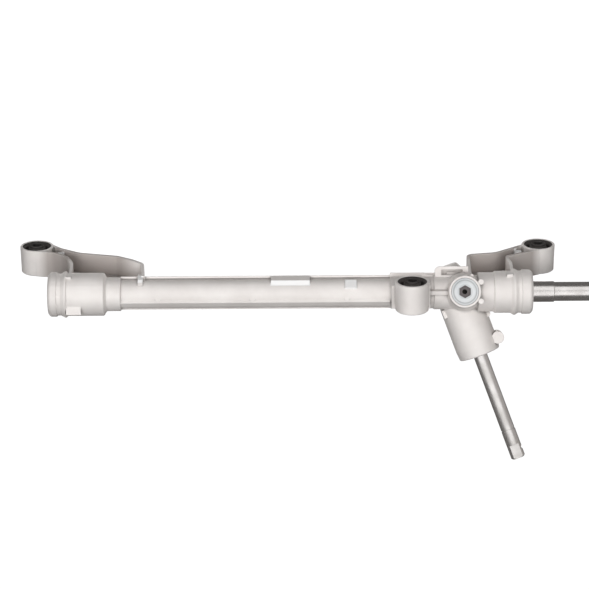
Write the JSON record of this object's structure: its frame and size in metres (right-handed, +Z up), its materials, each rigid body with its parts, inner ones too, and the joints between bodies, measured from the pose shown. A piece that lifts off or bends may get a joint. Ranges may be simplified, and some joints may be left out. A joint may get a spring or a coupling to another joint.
{
  "type": "steering rack",
  "caption": "Manual rack-and-pinion steering gear: cast housing with rubber-bushed mounting eyes, sliding rack bar and leaning pinion shaft.",
  "frame": {"origin": "centre of the front mounting bush's bore, half way up its eye", "axes": "+X along the rack to the side of the pinion, +Z up along the mounting bolts, +Y away from the yoke plug, to the side of the two rear eyes"},
  "size_m": [0.7493, 0.1858, 0.2538],
  "materials": {
    "cast_aluminium": "as-cast, fine grain",
    "bush_steel": "zinc plated",
    "sleeve_steel": "dark phosphated",
    "rubber": "moulded",
    "ground_steel": "ground",
    "shaft_steel": "turned",
    "yoke_alloy": "machined",
    "liner_bronze": "sintered, coated",
    "spring_steel": "oiled",
    "plug_zinc": "turned, bright",
    "nylon": "moulded",
    "bearing_steel": "polished",
    "cage_brass": "machined"
  },
  "bodies": {
    "root": {"housing": "cast_aluminium", "rack_bush": "nylon", "rack_bush_o_rings": "rubber", "left_stop_ring": "bush_steel", "right_stop_ring": "bush_steel", "needle_cup": "bearing_steel", "bearing_outer_ring": "bearing_steel", "bearing_ring_nut": "bush_steel", "pinion_seal": "rubber", "yoke": "yoke_alloy", "yoke_liner": "liner_bronze", "yoke_spring": "spring_steel", "yoke_o_ring": "rubber", "yoke_plug": "plug_zinc", "front_bush_shell": "bush_steel", "front_bush_rubber": "rubber", "front_bush_sleeve": "sleeve_steel", "left_bush_shell": "bush_steel", "left_bush_rubber": "rubber", "left_bush_sleeve": "sleeve_steel", "right_bush_shell": "bush_steel", "right_bush_rubber": "rubber", "right_bush_sleeve": "sleeve_steel"},
    "rack": {"rack_bar": "ground_steel"},
    "pinion": {"pinion": "shaft_steel", "bearing_inner_ring": "bearing_steel", "pinion_circlip": "spring_steel"},
    "ball_cage": {"bearing_balls": "bearing_steel", "bearing_cage": "cage_brass"},
    "needle_set": {"needle_rollers": "bearing_steel"}
  },
  "joints": [
    {"name": "rack_travel", "type": "slide", "parent": "root", "child": "rack", "axis": [1, 0, 0], "range_m": [-0.1045, 0.0275]},
    {"name": "pinion_turn", "type": "hinge", "parent": "root", "child": "pinion", "pos_m": [0.0604, 0.06051, -0.01727], "axis": [-0.3469, 0.2664, 0.8993], "range_deg": [-817.6, 217.4]},
    {"name": "ball_cage_turn", "type": "hinge", "parent": "root", "child": "ball_cage", "pos_m": [0.0604, 0.06051, -0.01727], "axis": [-0.3469, 0.2664, 0.8993], "range_deg": [-326.9, 88.2]},
    {"name": "needle_set_turn", "type": "hinge", "parent": "root", "child": "needle_set", "pos_m": [0.0604, 0.06051, -0.01727], "axis": [-0.3469, 0.2664, 0.8993], "range_deg": [-363.4, 97.9]}
  ],
  "couplings": [
    {"joint": "pinion_turn", "follows": "rack_travel", "rad_per_m": 136.05},
    {"joint": "ball_cage_turn", "follows": "rack_travel", "rad_per_m": 54.093},
    {"joint": "needle_set_turn", "follows": "rack_travel", "rad_per_m": 60.201}
  ]
}
